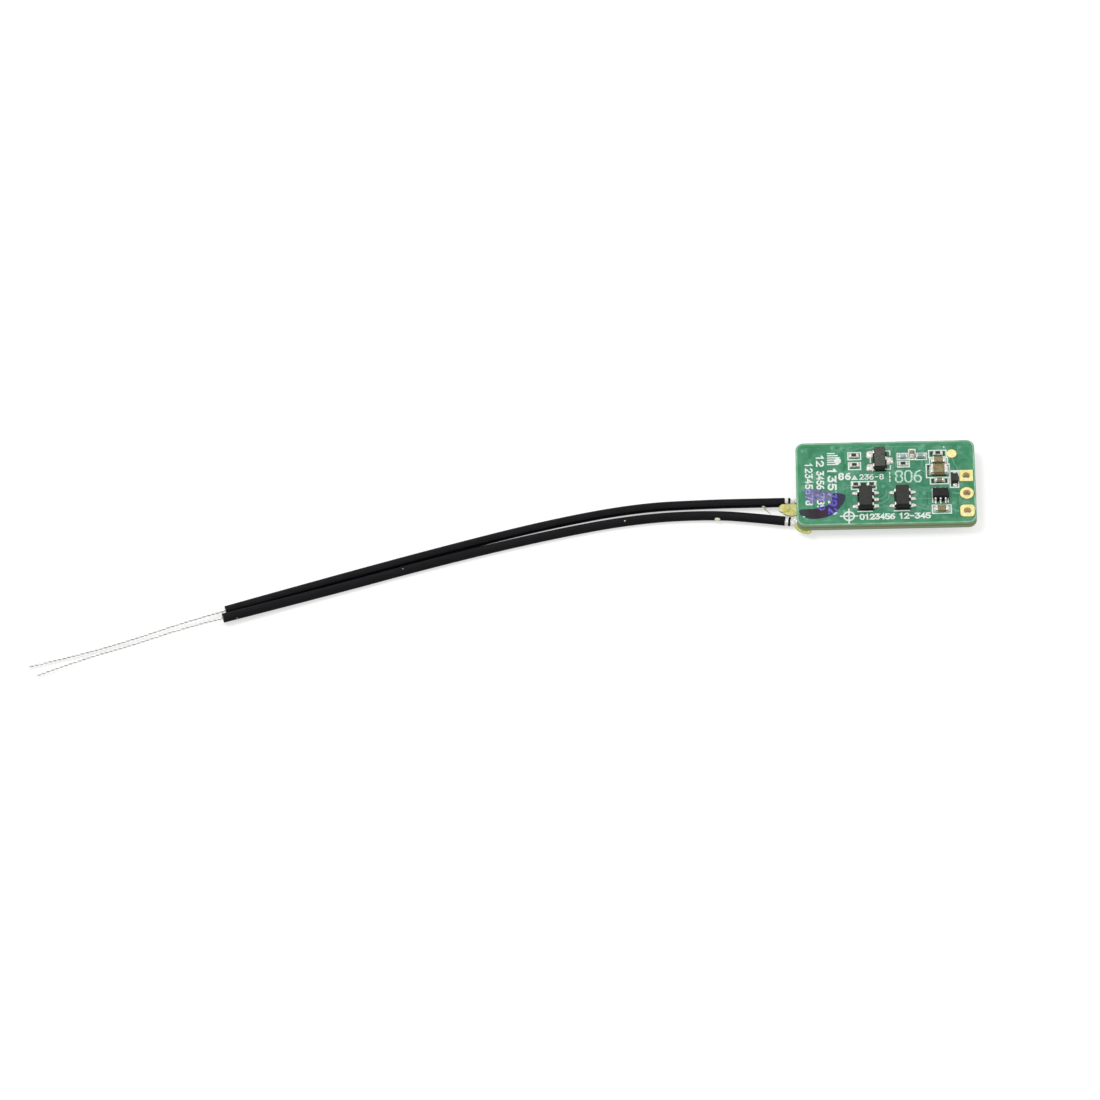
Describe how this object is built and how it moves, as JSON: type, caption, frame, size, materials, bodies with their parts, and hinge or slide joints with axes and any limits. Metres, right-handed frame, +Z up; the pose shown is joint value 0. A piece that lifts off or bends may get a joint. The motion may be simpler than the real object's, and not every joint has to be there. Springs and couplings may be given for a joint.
{
  "type": "rc receiver",
  "caption": "Small radio control receiver: a bare green circuit board with chips on both faces, three plated pin holes, a bind button and two thin black coax antennas.",
  "frame": {"origin": "on the table under the middle of the circuit board, at the height of the lowest parts of the lower face", "axes": "+X along the board's length towards the three plated holes, +Y across the board away from the print's reader, +Z up out of the printed face; the antennas leave towards -X"},
  "size_m": [0.1131, 0.0303, 0.0035],
  "materials": {
    "solder_mask": "glossy green lacquer over glass fibre laminate, mottled by the copper under it",
    "gold_plate": "thin bright gold plating on copper pads",
    "moulded_epoxy": "black moulded epoxy with a fine matt grain",
    "tinned_lead": "bright tin plating wetted with solder",
    "resistor_glaze": "black glazed top on white ceramic, metal ends",
    "inductor_ceramic": "blue grey ceramic, metal ends",
    "capacitor_ceramic": "tan fired ceramic, metal ends",
    "cable_jacket": "smooth black extruded jacket",
    "cable_dielectric": "clear to milky extruded insulation over twisted silvered wire",
    "cable_braid": "silvered copper braid",
    "solder": "bright soft solder",
    "yellow_glue": "yellowed clear glue",
    "switch_moulding": "black moulded plastic",
    "stamped_steel": "thin stamped sheet, satin",
    "button_moulding": "white moulded plastic",
    "crystal_ceramic": "brown fired ceramic",
    "red_lens": "tinted clear epoxy lens on a white base",
    "green_lens": "tinted clear epoxy lens on a white base"
  },
  "bodies": {
    "board_assembly": {"antenna_solder": "solder", "cable_glue": "yellow_glue", "capacitor_1": "capacitor_ceramic", "capacitor_2": "capacitor_ceramic", "capacitor_3": "capacitor_ceramic", "capacitor_4": "capacitor_ceramic", "capacitor_5": "capacitor_ceramic", "controller_body": "moulded_epoxy", "controller_lands": "tinned_lead", "crystal_base": "crystal_ceramic", "crystal_lid": "stamped_steel", "diode_body": "moulded_epoxy", "diode_tabs": "tinned_lead", "front_antenna_braid": "cable_braid", "front_antenna_collar": "cable_jacket", "front_antenna_core_end": "cable_dielectric", "front_antenna_element": "cable_dielectric", "front_antenna_jacket": "cable_jacket", "inductor_1": "inductor_ceramic", "inductor_2": "inductor_ceramic", "logic_gate_body": "moulded_epoxy", "logic_gate_leads": "tinned_lead", "plated_hole_1": "gold_plate", "plated_hole_2": "gold_plate", "plated_hole_3": "gold_plate", "power_capacitor_1": "capacitor_ceramic", "power_capacitor_2": "capacitor_ceramic", "printed_circuit_board": "solder_mask", "rear_antenna_braid": "cable_braid", "rear_antenna_collar": "cable_jacket", "rear_antenna_core_end": "cable_dielectric", "rear_antenna_element": "cable_dielectric", "rear_antenna_jacket": "cable_jacket", "regulator_1_body": "moulded_epoxy", "regulator_1_leads": "tinned_lead", "regulator_2_body": "moulded_epoxy", "regulator_2_leads": "tinned_lead", "resistor_1": "resistor_glaze", "resistor_2": "resistor_glaze", "resistor_3": "resistor_glaze", "resistor_4": "resistor_glaze", "resistor_5": "resistor_glaze", "resistor_6": "resistor_glaze", "rf_amplifier_body": "moulded_epoxy", "rf_amplifier_lands": "tinned_lead", "rf_transceiver_body": "moulded_epoxy", "rf_transceiver_lands": "tinned_lead", "status_light_green": "green_lens", "status_light_red": "red_lens", "switch_cover": "stamped_steel", "switch_dome": "stamped_steel", "switch_housing": "switch_moulding", "switch_terminals": "tinned_lead", "test_pad": "gold_plate", "transistor_body": "moulded_epoxy", "transistor_leads": "tinned_lead", "under_capacitor_1": "capacitor_ceramic", "under_capacitor_2": "capacitor_ceramic", "under_capacitor_3": "capacitor_ceramic"},
    "button": {"bind_button": "button_moulding"}
  },
  "joints": [
    {"name": "bind_press", "type": "slide", "parent": "board_assembly", "child": "button", "axis": [0, 0, 1], "range_m": [0, 0.0002], "stiffness_N_per_m": 500, "deforming": ["switch_dome"]}
  ]
}
